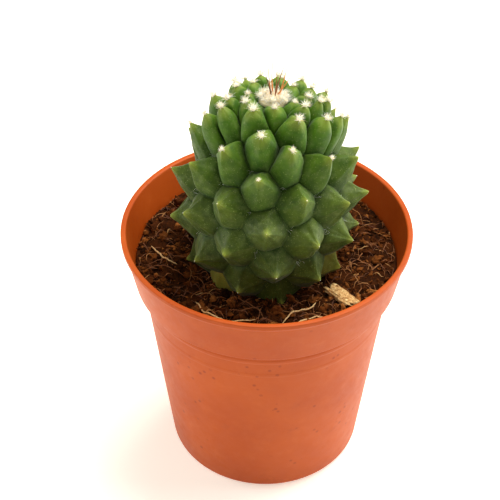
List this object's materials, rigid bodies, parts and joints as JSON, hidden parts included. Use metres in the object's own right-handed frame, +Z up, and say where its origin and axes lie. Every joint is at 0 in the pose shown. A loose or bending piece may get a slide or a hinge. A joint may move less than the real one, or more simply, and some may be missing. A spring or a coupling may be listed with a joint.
{
  "type": "potted round cactus",
  "caption": "Small round cactus with large woolly-tipped tubercles, planted in soil in a tapered plastic nursery pot with a collared rim and drain holes.",
  "frame": {"origin": "centre of the pot's underside, on the surface it stands on", "axes": "+Z up along the pot's axis, -Y towards the side seen first, +X to its right"},
  "size_m": [0.085, 0.085, 0.1351],
  "materials": {
    "pot_plastic": "satin, terracotta orange",
    "soil": "crumbly coir and peat, matt",
    "cactus_skin": "living skin, waxy matt green with pale specks",
    "wool": "white plant wool",
    "spine": "brown to orange, slightly glossy",
    "coir": "straw coloured fibre, matt",
    "bark": "pale weathered bark, matt"
  },
  "bodies": {
    "root": {"pot": "pot_plastic", "soil": "soil", "cactus": "cactus_skin", "crown_wool": "wool", "wool_tuft_01": "wool", "wool_tuft_02": "wool", "wool_tuft_03": "wool", "wool_tuft_04": "wool", "wool_tuft_05": "wool", "wool_tuft_06": "wool", "wool_tuft_07": "wool", "wool_tuft_08": "wool", "wool_tuft_09": "wool", "wool_tuft_10": "wool", "wool_tuft_11": "wool", "wool_tuft_12": "wool", "wool_tuft_13": "wool", "wool_tuft_14": "wool", "wool_tuft_15": "wool", "wool_tuft_16": "wool", "wool_tuft_17": "wool", "wool_tuft_18": "wool", "wool_tuft_19": "wool", "wool_tuft_20": "wool", "wool_tuft_21": "wool", "wool_tuft_22": "wool", "wool_tuft_23": "wool", "wool_tuft_24": "wool", "wool_tuft_25": "wool", "wool_tuft_26": "wool", "wool_tuft_27": "wool", "wool_tuft_28": "wool", "wool_tuft_29": "wool", "wool_tuft_30": "wool", "wool_tuft_31": "wool", "wool_tuft_32": "wool", "wool_tuft_33": "wool", "wool_tuft_34": "wool", "wool_tuft_35": "wool", "wool_tuft_36": "wool", "wool_tuft_37": "wool", "wool_tuft_38": "wool", "wool_tuft_39": "wool", "crown_spine_01": "spine", "crown_spine_02": "spine", "crown_spine_03": "spine", "crown_spine_04": "spine", "crown_spine_05": "spine", "crown_spine_06": "spine", "crown_spine_07": "spine", "coir_fibre_01": "coir", "coir_fibre_02": "coir", "coir_fibre_03": "coir", "coir_fibre_04": "coir", "coir_fibre_05": "coir", "bark_chip": "bark"}
  },
  "joints": []
}
